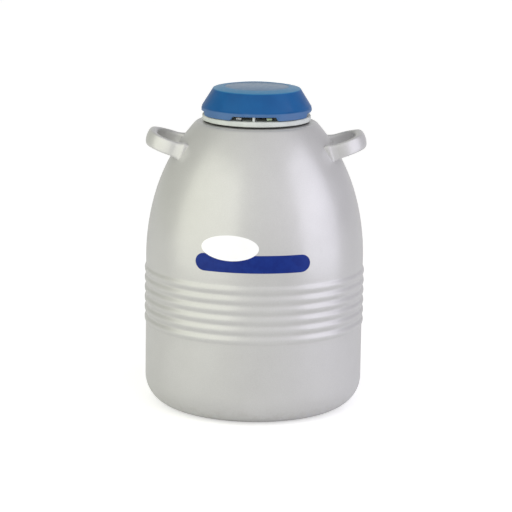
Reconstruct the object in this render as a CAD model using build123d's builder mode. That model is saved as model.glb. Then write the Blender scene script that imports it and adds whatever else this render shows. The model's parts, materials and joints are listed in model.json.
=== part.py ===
"""Liquid nitrogen dewar with ten canisters.

Millimetres. The origin is the centre of the base on the floor, +Z is up, the label faces -Y
and the two handles are at +X and -X.
"""
from build123d import *
from math import atan, cos, degrees, radians, sin
import os

os.makedirs("parts", exist_ok=True)

# ---------------------------------------------------------------- driving dimensions

# outer shell
wall_radius = 233.0          # plain part of the cylindrical wall
crest_radius = 235.8         # over the rolled ribs
skin = 2.5                   # sheet thickness of the outer shell
base_corner_radius = 61.0
foot_inner_radius = 150.0    # the flat foot ring starts here
dish_radius = 110.0          # the raised middle of the base pan
dish_rise = 14.0
rib_count = 6
rib_pitch = 21.5
rib_height = 3.0             # valley to crest
rib_crest_width = 12.5
first_rib_height = 187.0
groove_run = 12.0            # soft run-out above the top rib
shell_top = 612.6
side_arc_radius, side_arc_angle = 487.0, 15.9
shoulder_arc_radius, shoulder_arc_angle = 398.0, 25.0
brow_radius = 16.0           # rounding between shoulder and flat top

# neck
neck_bore_radius = 59.5
neck_wall = 2.0
neck_bottom = 412.0
bond_gap = 0.1               # glue line around the neck tube
shell_collar_bottom = 593.0
collar_bend = 5.0
gasket_radius = 110.8
gasket_thickness = 4.0
ring_radius = 115.4
ring_thickness = 11.0
ring_bore_radius = 60.0
ring_edge = 1.5
tube_seat_depth = 6.0        # how far the neck tube stands in the ring

# canister slots on the ring
canister_count = 10
first_divider_azimuth = -3.0     # degrees from the front, towards +X
divider_inner, divider_outer = 66.0, 111.4
divider_thickness = 5.0
divider_height = 11.5

# inner vessel
vessel_radius = 198.0
vessel_wall = 1.5
vessel_bottom = 42.0
vessel_corner_radius = 20.0
vessel_shoulder_start = 330.0
vessel_shoulder_radius, vessel_shoulder_angle = 75.0, 70.0
vessel_collar_height = 20.0

# vacuum space
blanket_gap = 2.0
blanket_thickness = 8.0
blanket_top = 430.0          # it ends on the side of the vessel's collar
sieve_radius, sieve_thickness = 60.0, 10.0
getter_width_angle, getter_depth, getter_height = 12.0, 8.0, 40.0
getter_bottom = 120.0

# canisters
canister_circle = 150.0
cup_radius, cup_wall, cup_height = 33.5, 0.8, 279.0
cup_bottom = 55.0
drain_hole_radius, drain_circle, drain_holes = 3.0, 18.0, 5
strip_width, strip_thickness = 12.0, 1.6
strip_bend, crank_bend = 3.0, 12.0
strip_foot = 262.0           # lower end of the handle strip on the cup
strip_crank_low, strip_crank_high = 350.0, 396.0
strip_neck_radius = 53.5     # centre of the strip in the neck
hook_gap = 0.4               # rest clearance under the hook
hook_end_radius = 104.0
hook_lip = 4.4
tag_width, tag_height, tag_thickness = 10.0, 4.4, 1.2

# spider on the vessel floor
spider_hub_inner, spider_hub_outer = 104.0, 109.0
spider_fin_outer, spider_fin_thickness = 184.0, 3.0
spider_height = 46.0
spider_corner_cut = 30.0

# cap
cap_rest_gap = 0.3
cap_skirt_radius = 117.2
cap_brim_radius = 118.8
cap_wall = 3.2
cap_skirt_bottom = 629.1
cap_brim_height = 643.7
cap_rim_radius, cap_rim_height = 92.8, 683.4
cap_rim_rounding = 3.0
cap_top = 687.6
cap_disc_radius, cap_disc_floor = 68.0, 685.6
cap_disc_thickness, cap_disc_edge = 1.5, 0.5
window_count = 4
window_azimuth = -2.5
window_width, window_depth, window_top = 100.0, 40.0, 637.6
hem_angle = 36.0
hem_bottom = 630.1
plate_radius, plate_thickness = 113.2, 3.0
plug_radius, plug_bottom, plug_edge = 50.0, 500.0, 4.0
screw_count, screw_circle = 4, 84.0
screw_radius, screw_head_radius = 2.0, 4.0
screw_head_depth, screw_length = 2.0, 16.0
screw_azimuth = 12.0

# handles
handle_reach = 222.0         # centre of the grip from the axis
handle_grip_height = 576.5
handle_tilt = 18.0
handle_half_width = 66.0
handle_bend = 48.0
handle_root = 120.0          # where the loop starts, inside the shell line
handle_grip_run = 64.0       # over this width the legs round out into the grip
handle_flare_end, handle_flare_run = 180.0, 40.0
handle_stations = 33
grip_thickness, grip_depth = 23.0, 34.0
leg_thickness, leg_depth = 13.0, 31.0
foot_thickness, foot_depth = 20.0, 38.0

# vacuum port on the back of the shoulder
port_height = 560.0
port_radius, port_bore, port_edge = 14.0, 10.0, 1.0
port_stand_out, port_sink = 12.0, 10.0
port_plug_length, port_plug_sink = 16.0, 2.0
o_ring_groove, o_ring_slack, o_ring_edge = 3.2, 0.3, 0.6
cover_wall, cover_gap = 2.0, 0.35

# labels on the front
label_thickness = 0.3
band_width, band_height, band_centre_x, band_centre_z = 237.0, 36.8, -3.4, 349.9
oval_width, oval_height, oval_centre_x, oval_centre_z = 119.0, 52.5, -50.4, 382.0

# ---------------------------------------------------------------- derived sizes

ring_bottom = shell_top + gasket_thickness
ring_top = ring_bottom + ring_thickness
divider_top = ring_top + divider_height
tube_radius = neck_bore_radius + neck_wall
tube_top = ring_bottom + tube_seat_depth
slot_pitch = 360 / canister_count
front = -90.0                # the front direction, as an angle about +Z

first_arc = radians(side_arc_angle)
second_arc = radians(side_arc_angle + shoulder_arc_angle)
dome_rise = (
    side_arc_radius * sin(first_arc)
    + shoulder_arc_radius * (sin(second_arc) - sin(first_arc))
    + brow_radius * (1 - sin(second_arc))
)
dome_start = shell_top - dome_rise
dome_mouth_radius = tube_radius + bond_gap + collar_bend
shoulder_centre_radius = wall_radius - side_arc_radius + (
    side_arc_radius - shoulder_arc_radius
) * cos(first_arc)
shoulder_centre_height = dome_start + (side_arc_radius - shoulder_arc_radius) * sin(first_arc)

vessel_collar_radius = tube_radius + bond_gap + vessel_wall
vessel_wall_start = vessel_bottom + vessel_corner_radius
vessel_turn = radians(vessel_shoulder_angle)
vessel_crown_edge = vessel_radius - vessel_shoulder_radius * (1 - cos(vessel_turn))
vessel_mouth_radius = vessel_collar_radius + collar_bend
vessel_crown_radius = (vessel_crown_edge - vessel_mouth_radius) / cos(vessel_turn)
vessel_mouth_height = (
    vessel_shoulder_start
    + vessel_shoulder_radius * sin(vessel_turn)
    + vessel_crown_radius * (1 - sin(vessel_turn))
)

rib_angle = 2 * degrees(atan(2 * rib_height / rib_pitch))
rib_sine, rib_versine = sin(radians(rib_angle)), 1 - cos(radians(rib_angle))
crest_arc = rib_crest_width / 2 / rib_sine
valley_arc = (rib_pitch - rib_crest_width) / 2 / rib_sine
rib_lead = (crest_radius - crest_arc * rib_versine - wall_radius) / rib_versine
groove_depth = wall_radius - (crest_radius - rib_height)

plate_bottom = divider_top + cap_rest_gap
plate_top = plate_bottom + plate_thickness


def radial_plane(angle, radius=0.0, height=0.0):
    """A plane through the axis at an angle about +Z: its x points outwards and its y points up."""
    out = Vector(cos(radians(angle)), sin(radians(angle)), 0)
    return Plane(origin=out * radius + Vector(0, 0, height), x_dir=out,
                 z_dir=out.cross(Vector(0, 0, 1)))


def upright_plane(angle, radius, height):
    """A level plane at a place on a circle about the axis, with its x pointing outwards."""
    out = Vector(cos(radians(angle)), sin(radians(angle)), 0)
    return Plane(origin=out * radius + Vector(0, 0, height), x_dir=out, z_dir=(0, 0, 1))


def s_curve(start, heading, run, rise):
    """Two equal tangent arcs that shift a line sideways: rise is positive to the left."""
    bend = 2 * degrees(atan(abs(rise) / run))
    radius = run / 2 / sin(radians(bend))
    turn = bend if rise > 0 else -bend
    first = JernArc(start=start, tangent=heading, radius=radius, arc_size=turn)
    return JernArc(start=first @ 1, tangent=first % 1, radius=radius, arc_size=-turn)


def finish(builder, name):
    """Label a finished piece and write it to its own file."""
    builder.part.label = name
    export_step(builder.part, f"parts/{name}.step")


# ---------------------------------------------------------------- outer shell

# base pan: raised middle, flat foot ring, rounded corner
with BuildPart() as outer_base:
    with BuildSketch(Plane.XZ):
        with BuildLine():
            dish = Line((0, dish_rise), (dish_radius, dish_rise))
            slope = s_curve(dish @ 1, (1, 0), foot_inner_radius - dish_radius, -dish_rise)
            foot = Line(slope @ 1, (wall_radius - base_corner_radius, 0))
            JernArc(start=foot @ 1, tangent=(1, 0), radius=base_corner_radius, arc_size=90)
            offset(amount=skin, side=Side.LEFT)
        make_face()
    revolve(axis=Axis.Z)
finish(outer_base, "outer_base")

# ribbed wall: straight, six rolled ribs, a soft groove above the last one, straight
with BuildPart() as outer_body:
    with BuildSketch(Plane.XZ):
        with BuildLine():
            rib_start = first_rib_height - (rib_lead + crest_arc) * rib_sine
            lower = Line((wall_radius, base_corner_radius), (wall_radius, rib_start))
            last = JernArc(start=lower @ 1, tangent=(0, 1), radius=rib_lead, arc_size=-rib_angle)
            for rib in range(rib_count):
                last = JernArc(start=last @ 1, tangent=last % 1, radius=crest_arc,
                               arc_size=2 * rib_angle)
                last_rib = rib == rib_count - 1
                last = JernArc(start=last @ 1, tangent=last % 1, radius=valley_arc,
                               arc_size=-rib_angle if last_rib else -2 * rib_angle)
            last = s_curve(last @ 1, (0, 1), groove_run, -groove_depth)
            Line(last @ 1, (wall_radius, dome_start))
            offset(amount=skin, side=Side.LEFT)
        make_face()
    revolve(axis=Axis.Z)
finish(outer_body, "outer_body")

# where the vacuum port stands on the shoulder
port_sine = (port_height - shoulder_centre_height) / shoulder_arc_radius
port_cosine = (1 - port_sine**2) ** 0.5
port_plane = Plane(
    origin=(0, shoulder_centre_radius + shoulder_arc_radius * port_cosine, port_height),
    x_dir=(1, 0, 0), z_dir=(0, port_cosine, port_sine),
)


def dome_line(grow=0.0):
    """The outside of the dome, or a line beyond it, from the wall to the edge of the flat top."""
    side = JernArc(start=(wall_radius + grow, dome_start), tangent=(0, 1),
                   radius=side_arc_radius + grow, arc_size=side_arc_angle)
    shoulder = JernArc(start=side @ 1, tangent=side % 1, radius=shoulder_arc_radius + grow,
                       arc_size=shoulder_arc_angle)
    return JernArc(start=shoulder @ 1, tangent=shoulder % 1, radius=brow_radius + grow,
                   arc_size=90 - side_arc_angle - shoulder_arc_angle)


def solid_dome(grow=0.0):
    """Everything inside the dome's outside, or inside a surface that lies beyond it."""
    with BuildPart() as envelope:
        with BuildSketch(Plane.XZ):
            with BuildLine():
                brow = dome_line(grow)
                Polyline(brow @ 1, (0, (brow @ 1).Y), (0, dome_start),
                         (wall_radius + grow, dome_start))
            make_face()
        revolve(axis=Axis.Z)
    return envelope.part


def top_line(grow=0.0):
    """The dome's line, carried on over the flat top to the edge of its mouth."""
    brow = dome_line(grow)
    return Line(brow @ 1, (dome_mouth_radius, shell_top + grow))


# dome: shoulder and flat top, with a hole for the vacuum port
with BuildPart() as outer_dome:
    with BuildSketch(Plane.XZ):
        with BuildLine():
            outside = top_line()
            inside = top_line(-skin)
            Line(outside @ 1, inside @ 1)
            Line((wall_radius, dome_start), (wall_radius - skin, dome_start))
        make_face()
    revolve(axis=Axis.Z)
    with BuildSketch(port_plane):
        Circle(port_radius)
    extrude(amount=port_sink, both=True, mode=Mode.SUBTRACT)
finish(outer_dome, "outer_dome")

# collar: turned down around the neck tube and bonded to it
with BuildPart() as dome_collar:
    with BuildSketch(Plane.XZ):
        with BuildLine():
            bend = JernArc(start=(dome_mouth_radius, shell_top), tangent=(-1, 0),
                           radius=collar_bend, arc_size=90)
            Line(bend @ 1, ((bend @ 1).X, shell_collar_bottom))
            offset(amount=skin, side=Side.LEFT)
        make_face()
    revolve(axis=Axis.Z)
finish(dome_collar, "dome_collar")

# ---------------------------------------------------------------- handles


def ease(amount):
    """Smooth step from 0 to 1."""
    amount = min(1, max(0, amount))
    return amount * amount * (3 - 2 * amount)


# each loop is welded to the shoulder: flat legs on edge that round out into a thick grip
for name, side in (("handle_right", 1), ("handle_left", -1)):
    tilt = radians(handle_tilt)
    outwards = Vector(side * cos(tilt), 0, sin(tilt))
    reach = (handle_reach - handle_root) / cos(tilt)
    root_height = handle_grip_height - reach * sin(tilt)
    loop_plane = Plane(origin=(side * handle_root, 0, root_height), x_dir=outwards,
                       z_dir=outwards.cross(Vector(0, side, 0)))
    with BuildPart() as handle:
        with BuildLine(loop_plane) as loop:
            FilletPolyline((0, -handle_half_width), (reach, -handle_half_width),
                           (reach, handle_half_width), (0, handle_half_width),
                           radius=handle_bend)
        loop_wire = loop.wires()[0]
        for station in range(handle_stations):
            along = station / (handle_stations - 1)
            place = loop_wire @ along
            heading = loop_wire % along
            flare = ease((handle_flare_end - abs(place.X)) / handle_flare_run)
            grip = ease((handle_half_width - abs(place.Y)) / handle_grip_run)
            thickness = leg_thickness + (grip_thickness - leg_thickness) * grip
            depth = leg_depth + (grip_depth - leg_depth) * grip
            thickness += (foot_thickness - leg_thickness) * flare
            depth += (foot_depth - leg_depth) * flare
            across = loop_plane.z_dir.cross(heading)
            with BuildSketch(Plane(origin=place, x_dir=across, z_dir=heading)):
                Ellipse(thickness / 2, depth / 2)
        loft()
        add(solid_dome(), mode=Mode.SUBTRACT)
    finish(handle, name)

# ---------------------------------------------------------------- neck

with BuildPart() as neck_tube:
    with BuildSketch(Plane.XY.offset(neck_bottom)):
        Circle(tube_radius)
        Circle(neck_bore_radius, mode=Mode.SUBTRACT)
    extrude(amount=tube_top - neck_bottom)
finish(neck_tube, "neck_tube")

with BuildPart() as neck_gasket:
    with BuildSketch(Plane.XY.offset(shell_top)):
        Circle(gasket_radius)
        Circle(tube_radius + bond_gap, mode=Mode.SUBTRACT)
    extrude(amount=gasket_thickness)
finish(neck_gasket, "neck_gasket")

# index ring: a rounded ring with a seat for the tube
with BuildPart() as index_ring:
    with BuildSketch(Plane.XY.offset(ring_bottom)):
        Circle(ring_radius)
        Circle(ring_bore_radius, mode=Mode.SUBTRACT)
    extrude(amount=ring_thickness)
    fillet(index_ring.edges().filter_by(GeomType.CIRCLE), radius=ring_edge)
    with BuildSketch(Plane.XY.offset(ring_bottom)):
        Circle(tube_radius + bond_gap)
    extrude(amount=tube_seat_depth, mode=Mode.SUBTRACT)
finish(index_ring, "index_ring")

# upright dividers on the ring, one between every two slots
with BuildPart() as slot_dividers:
    with BuildSketch(Plane.XY.offset(ring_top)):
        with PolarLocations((divider_inner + divider_outer) / 2, canister_count,
                            start_angle=front + first_divider_azimuth):
            Rectangle(divider_outer - divider_inner, divider_thickness)
    extrude(amount=divider_height)
finish(slot_dividers, "slot_dividers")

# ---------------------------------------------------------------- inner vessel


def vessel_floor_line():
    """The outside of the vessel's floor and corner, from the axis to the start of its wall."""
    floor = Line((0, vessel_bottom), (vessel_radius - vessel_corner_radius, vessel_bottom))
    return JernArc(start=floor @ 1, tangent=(1, 0), radius=vessel_corner_radius, arc_size=90)


def vessel_crown_line():
    """The outside of the vessel's shoulder and crown, from its wall to the edge of its mouth."""
    shoulder = JernArc(start=(vessel_radius, vessel_shoulder_start), tangent=(0, 1),
                       radius=vessel_shoulder_radius, arc_size=vessel_shoulder_angle)
    return JernArc(start=shoulder @ 1, tangent=shoulder % 1, radius=vessel_crown_radius,
                   arc_size=90 - vessel_shoulder_angle)


def vessel_collar_line():
    """The outside of the collar, from the edge of the vessel's mouth up along the neck tube."""
    bend = JernArc(start=(vessel_mouth_radius, vessel_mouth_height), tangent=(-1, 0),
                   radius=collar_bend, arc_size=-90)
    return Line(bend @ 1, (bend @ 1) + Vector(0, vessel_collar_height))


# floor pan
with BuildPart() as inner_vessel_lower:
    with BuildSketch(Plane.XZ):
        with BuildLine():
            vessel_floor_line()
            offset(amount=vessel_wall, side=Side.LEFT)
        make_face()
    revolve(axis=Axis.Z)
finish(inner_vessel_lower, "inner_vessel_lower")

with BuildPart() as inner_vessel_wall:
    with BuildSketch(Plane.XY.offset(vessel_wall_start)):
        Circle(vessel_radius)
        Circle(vessel_radius - vessel_wall, mode=Mode.SUBTRACT)
    extrude(amount=vessel_shoulder_start - vessel_wall_start)
finish(inner_vessel_wall, "inner_vessel_wall")

with BuildPart() as inner_vessel_upper:
    with BuildSketch(Plane.XZ):
        with BuildLine():
            vessel_crown_line()
            offset(amount=vessel_wall, side=Side.LEFT)
        make_face()
    revolve(axis=Axis.Z)
finish(inner_vessel_upper, "inner_vessel_upper")

# collar: turned up around the neck tube and bonded to it
with BuildPart() as vessel_collar:
    with BuildSketch(Plane.XZ):
        with BuildLine():
            vessel_collar_line()
            offset(amount=vessel_wall, side=Side.LEFT)
        make_face()
    revolve(axis=Axis.Z)
finish(vessel_collar, "vessel_collar")

# ---------------------------------------------------------------- vacuum space

with BuildPart() as adsorbent_pack:
    with BuildSketch(Plane.XY.offset(vessel_bottom - sieve_thickness)):
        Circle(sieve_radius)
    extrude(amount=sieve_thickness)
finish(adsorbent_pack, "adsorbent_pack")


def vessel_outline(grow):
    """Half a section through the vessel and the pack under it, grown by a distance."""
    with BuildSketch() as outline:
        with BuildLine():
            corner = vessel_floor_line()
            Line(corner @ 1, (vessel_radius, vessel_shoulder_start))
            vessel_crown_line()
            collar = vessel_collar_line()
            Polyline(collar @ 1, (0, (collar @ 1).Y), (0, vessel_bottom))
        make_face()
        with Locations((sieve_radius / 2, vessel_bottom - sieve_thickness / 2)):
            Rectangle(sieve_radius, sieve_thickness)
        offset(amount=grow, kind=Kind.INTERSECTION)
    return outline.sketch


# the blanket wraps the vessel and its pack, and stops around the neck collar
with BuildPart() as insulation_blanket:
    with BuildSketch(Plane.XZ):
        add(vessel_outline(blanket_gap + blanket_thickness))
        add(vessel_outline(blanket_gap), mode=Mode.SUBTRACT)
        with Locations((0, blanket_top)):
            Rectangle(2 * vessel_radius, shell_top, align=(Align.CENTER, Align.MIN),
                      mode=Mode.SUBTRACT)
        with Locations((0, 0)):
            Rectangle(2 * vessel_radius, 2 * shell_top, align=(Align.MAX, Align.CENTER),
                      mode=Mode.SUBTRACT)
    revolve(axis=Axis.Z)
finish(insulation_blanket, "insulation_blanket")

# getter pack on the inside of the warm wall, below the vacuum port
with BuildPart() as getter_pack:
    getter_outer = wall_radius - skin - bond_gap
    with BuildSketch(radial_plane(-front - getter_width_angle / 2)):
        with Locations((getter_outer - getter_depth / 2, getter_bottom + getter_height / 2)):
            Rectangle(getter_depth, getter_height)
    revolve(axis=Axis.Z, revolution_arc=getter_width_angle)
finish(getter_pack, "getter_pack")

# ---------------------------------------------------------------- vacuum port

with BuildPart() as vacuum_port:
    with BuildSketch(port_plane.offset(-port_sink)):
        Circle(port_radius)
        Circle(port_bore, mode=Mode.SUBTRACT)
    extrude(amount=port_sink + port_stand_out)
    chamfer(vacuum_port.edges().group_by(Axis(port_plane.origin, port_plane.z_dir))[-1],
            length=port_edge)
finish(vacuum_port, "vacuum_port")

plug_plane = port_plane.offset(port_stand_out - port_plug_sink - port_plug_length)
groove_start = (port_plug_length - o_ring_groove) / 2
with BuildPart() as vacuum_plug:
    with BuildSketch(plug_plane):
        Circle(port_bore - bond_gap)
    extrude(amount=port_plug_length)
    with BuildSketch(plug_plane.offset(groove_start)):
        Circle(port_bore)
        Circle(port_bore - o_ring_groove, mode=Mode.SUBTRACT)
    extrude(amount=o_ring_groove, mode=Mode.SUBTRACT)
finish(vacuum_plug, "vacuum_plug")

with BuildPart() as vacuum_o_ring:
    with BuildSketch(plug_plane.offset(groove_start + o_ring_slack)):
        Circle(port_bore - bond_gap)
        Circle(port_bore - o_ring_groove + bond_gap, mode=Mode.SUBTRACT)
    extrude(amount=o_ring_groove - 2 * o_ring_slack)
    fillet(vacuum_o_ring.edges().filter_by(GeomType.CIRCLE), radius=o_ring_edge)
finish(vacuum_o_ring, "vacuum_o_ring")

# pull-off cover: a round cap that slips over the port's tube
cover_radius = port_radius + cover_gap + cover_wall
with BuildPart() as vacuum_cover:
    with BuildSketch(port_plane.offset(port_stand_out + cover_gap + cover_wall)):
        Circle(cover_radius)
    extrude(amount=-(port_stand_out - cover_gap))
    end_faces = vacuum_cover.faces().sort_by(Axis(port_plane.origin, port_plane.z_dir))
    fillet(end_faces[-1].edges(), radius=cover_wall)
    with BuildSketch(port_plane.offset(port_stand_out + cover_gap)):
        Circle(port_radius + cover_gap)
    extrude(amount=-port_stand_out, mode=Mode.SUBTRACT)
finish(vacuum_cover, "vacuum_cover")

# ---------------------------------------------------------------- labels

# both labels are thin films that follow the dome; the band is cut where the oval lies over it

with BuildPart() as label_oval:
    with BuildSketch(Plane.XZ):
        with Locations((oval_centre_x, oval_centre_z)):
            Ellipse(oval_width / 2, oval_height / 2)
    extrude(amount=crest_radius)
    add(solid_dome(label_thickness), mode=Mode.INTERSECT)
    add(solid_dome(), mode=Mode.SUBTRACT)
finish(label_oval, "label_oval")

with BuildPart() as label_band:
    with BuildSketch(Plane.XZ):
        with Locations((band_centre_x, band_centre_z)):
            SlotOverall(band_width, band_height)
        with Locations((oval_centre_x, oval_centre_z)):
            Ellipse(oval_width / 2, oval_height / 2, mode=Mode.SUBTRACT)
    extrude(amount=crest_radius)
    add(solid_dome(label_thickness), mode=Mode.INTERSECT)
    add(solid_dome(), mode=Mode.SUBTRACT)
finish(label_band, "label_band")

# ---------------------------------------------------------------- spider

spider_bottom = vessel_bottom + vessel_wall
with BuildPart() as canister_spider:
    with BuildSketch(Plane.XY.offset(spider_bottom)):
        Circle(spider_hub_outer)
        fin_inner = (spider_hub_inner + spider_hub_outer) / 2
        with PolarLocations((fin_inner + spider_fin_outer) / 2, canister_count,
                            start_angle=front + first_divider_azimuth):
            Rectangle(spider_fin_outer - fin_inner, spider_fin_thickness)
        Circle(spider_hub_inner, mode=Mode.SUBTRACT)
    extrude(amount=spider_height)
    # the fins stand clear of the vessel's rounded corner
    with BuildSketch(Plane.XZ):
        with Locations((vessel_radius, spider_bottom)):
            Rectangle(2 * spider_corner_cut, 2 * vessel_corner_radius)
    revolve(axis=Axis.Z, mode=Mode.SUBTRACT)
finish(canister_spider, "canister_spider")

# ---------------------------------------------------------------- canisters

for number in range(1, canister_count + 1):
    angle = front + first_divider_azimuth + (number - 0.5) * slot_pitch
    cup_plane = upright_plane(angle, canister_circle, cup_bottom)
    with BuildPart() as cup:
        with BuildSketch(cup_plane):
            Circle(cup_radius)
        extrude(amount=cup_height)
        with BuildSketch(cup_plane.offset(cup_wall)):
            Circle(cup_radius - cup_wall)
        extrude(amount=cup_height, mode=Mode.SUBTRACT)
        with BuildSketch(cup_plane):
            with PolarLocations(drain_circle, drain_holes):
                Circle(drain_hole_radius)
        extrude(amount=cup_wall, mode=Mode.SUBTRACT)
    finish(cup, f"canister_cup_{number}")

    # strip handle: up the cup's inner side, cranked into the neck, hooked over the index ring
    strip_plane = radial_plane(angle)
    strip_cup = canister_circle - cup_radius - bond_gap
    strip_neck = strip_neck_radius + strip_thickness / 2
    hook_height = ring_top + hook_gap
    with BuildPart() as handle:
        with BuildSketch(strip_plane):
            with BuildLine():
                FilletPolyline(
                    (strip_cup, strip_foot), (strip_cup, strip_crank_low),
                    (strip_neck, strip_crank_high), (strip_neck, hook_height),
                    (hook_end_radius, hook_height),
                    (hook_end_radius, hook_height + strip_thickness + hook_lip),
                    radius=(crank_bend, crank_bend, strip_bend, strip_bend),
                )
                offset(amount=strip_thickness, side=Side.LEFT)
            make_face()
        extrude(amount=strip_width / 2, both=True)
    finish(handle, f"canister_handle_{number}")

    tag_height_centre = hook_height + strip_thickness + hook_lip - tag_height / 2
    with BuildPart() as tag:
        with BuildSketch(radial_plane(angle)):
            with Locations((hook_end_radius + tag_thickness / 2, tag_height_centre)):
                Rectangle(tag_thickness, tag_height)
        extrude(amount=tag_width / 2, both=True)
    finish(tag, f"canister_tag_{number}")

# ---------------------------------------------------------------- cap

cap_brim_start = cap_brim_height - (cap_brim_radius - cap_skirt_radius)


def cap_section(inset, bottom):
    """Half a section through a solid cap whose side and top are set in by a distance."""
    with BuildSketch() as section:
        with BuildLine():
            Polyline(
                (0, 0), (cap_skirt_radius, 0), (cap_skirt_radius, cap_brim_start),
                (cap_brim_radius, cap_brim_height), (cap_rim_radius, cap_rim_height),
                (cap_disc_radius, cap_top), (-cap_disc_radius, cap_top),
                (-cap_disc_radius, 0), close=True,
            )
        make_face()
        offset(amount=-inset, kind=Kind.INTERSECTION)
        with Locations((0, bottom)):
            Rectangle(2 * cap_brim_radius, cap_top, align=(Align.MIN, Align.MIN),
                      mode=Mode.INTERSECT)
    return section.sketch


with BuildPart() as lid_cap:
    with BuildSketch(Plane.XZ):
        add(cap_section(0, cap_skirt_bottom))
        add(cap_section(cap_wall, cap_skirt_bottom), mode=Mode.SUBTRACT)
        with Locations((0, cap_disc_floor)):
            Rectangle(cap_disc_radius, cap_top, align=(Align.MIN, Align.MIN), mode=Mode.SUBTRACT)
    revolve(axis=Axis.Z)
    rim = lid_cap.edges().filter_by(GeomType.CIRCLE).filter_by(
        lambda edge: abs(edge.radius - cap_rim_radius) < bond_gap
        and abs(edge.center().Z - cap_rim_height) < bond_gap
    )
    fillet(rim, radius=cap_rim_rounding)
    # windows in the skirt
    with BuildSketch(Plane.XY.offset(cap_skirt_bottom)):
        with PolarLocations(cap_skirt_radius, window_count, start_angle=front + window_azimuth):
            Rectangle(window_depth, window_width)
    extrude(amount=window_top - cap_skirt_bottom, mode=Mode.SUBTRACT)
    # the thicker hem between the windows
    for hem in range(window_count):
        hem_start = front + window_azimuth + (hem + 0.5) * 360 / window_count - hem_angle / 2
        with BuildSketch(radial_plane(hem_start)):
            with Locations((cap_skirt_radius - cap_wall / 2, hem_bottom)):
                Rectangle(cap_brim_radius - cap_skirt_radius + cap_wall / 2,
                          cap_brim_height - hem_bottom, align=(Align.MIN, Align.MIN))
        revolve(axis=Axis.Z, revolution_arc=hem_angle)
finish(lid_cap, "lid_cap")

with BuildPart() as lid_disc:
    with BuildSketch(Plane.XY.offset(cap_disc_floor)):
        Circle(cap_disc_radius - bond_gap)
    extrude(amount=cap_disc_thickness)
    fillet(lid_disc.faces().sort_by(Axis.Z)[-1].edges(), radius=cap_disc_edge)
finish(lid_disc, "lid_disc")

# foam that fills the cap above its base plate
with BuildPart() as lid_foam:
    with BuildSketch(Plane.XZ):
        add(cap_section(cap_wall + bond_gap, plate_top))
    revolve(axis=Axis.Z)
    with BuildSketch(Plane.XY.offset(plate_top)):
        with PolarLocations(screw_circle, screw_count, start_angle=front + screw_azimuth):
            Circle(screw_radius)
    extrude(amount=screw_length, mode=Mode.SUBTRACT)
finish(lid_foam, "lid_foam")

with BuildPart() as lid_base_plate:
    with BuildSketch(Plane.XY.offset(plate_bottom)):
        Circle(plate_radius)
    extrude(amount=plate_thickness)
    with Locations(Plane.XY.offset(plate_bottom)):
        with PolarLocations(screw_circle, screw_count, start_angle=front + screw_azimuth):
            with Locations(Location((0, 0, 0), (180, 0, 0))):
                CounterSinkHole(screw_radius, screw_head_radius)
finish(lid_base_plate, "lid_base_plate")

with BuildPart() as neck_plug:
    with BuildSketch(Plane.XY.offset(plug_bottom)):
        Circle(plug_radius)
    extrude(amount=plate_bottom - plug_bottom)
    fillet(neck_plug.faces().sort_by(Axis.Z)[0].edges(), radius=plug_edge)
finish(neck_plug, "neck_plug")

# four countersunk screws, heads flush with the underside of the plate
with BuildPart() as lid_screws:
    with BuildSketch(Plane.XY.offset(plate_bottom)):
        with PolarLocations(screw_circle, screw_count, start_angle=front + screw_azimuth):
            Circle(screw_head_radius - bond_gap)
    extrude(amount=screw_head_depth, taper=45)
    with BuildSketch(Plane.XY.offset(plate_bottom)):
        with PolarLocations(screw_circle, screw_count, start_angle=front + screw_azimuth):
            Circle(screw_radius - bond_gap)
    extrude(amount=screw_length)
finish(lid_screws, "lid_screws")
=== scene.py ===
"""Looks of the liquid nitrogen dewar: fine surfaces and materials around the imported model.

Metres, in the model's own frame: the origin is the centre of the base, +Z is up, the label
faces -Y and the handles are at +X and -X.
"""
import json
from math import atan, atan2, cos, degrees, hypot, pi, radians, sin, sqrt, tan

import bmesh
import bpy
from mathutils import Matrix, Vector


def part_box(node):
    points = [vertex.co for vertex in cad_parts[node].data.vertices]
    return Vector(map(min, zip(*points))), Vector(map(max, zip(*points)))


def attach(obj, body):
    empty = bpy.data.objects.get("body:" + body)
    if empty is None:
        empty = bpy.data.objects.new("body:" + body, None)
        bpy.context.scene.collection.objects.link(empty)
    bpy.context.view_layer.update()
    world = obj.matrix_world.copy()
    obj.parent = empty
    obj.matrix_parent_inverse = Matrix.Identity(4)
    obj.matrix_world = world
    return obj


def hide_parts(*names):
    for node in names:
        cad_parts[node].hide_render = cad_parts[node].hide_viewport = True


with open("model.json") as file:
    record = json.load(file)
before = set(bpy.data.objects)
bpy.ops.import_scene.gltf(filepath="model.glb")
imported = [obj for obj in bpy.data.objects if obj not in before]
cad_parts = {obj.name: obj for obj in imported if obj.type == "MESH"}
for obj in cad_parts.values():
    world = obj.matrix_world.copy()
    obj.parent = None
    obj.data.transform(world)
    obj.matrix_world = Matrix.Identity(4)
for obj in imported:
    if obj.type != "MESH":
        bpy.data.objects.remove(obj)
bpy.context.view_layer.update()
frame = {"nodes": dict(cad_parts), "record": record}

MM = 0.001

# ------------------------------------------------------------------ sizes read from the frame

wall_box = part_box("outer_body")
dome_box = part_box("outer_dome")
base_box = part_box("outer_base")
ring_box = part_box("index_ring")
gasket_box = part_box("neck_gasket")
tube_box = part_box("neck_tube")
cap_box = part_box("lid_cap")
disc_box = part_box("lid_disc")
plug_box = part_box("neck_plug")

CREST = min(wall_box[1].x, -wall_box[0].x)      # over the rolled ribs
WALL = min(dome_box[1].x, -dome_box[0].x)       # plain wall
SKIN = 2.5 * MM
DOME_START = dome_box[0].z
SHELL_TOP = dome_box[1].z
BASE_TOP = base_box[1].z

# ------------------------------------------------------------------ driving sizes of the looks

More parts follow.
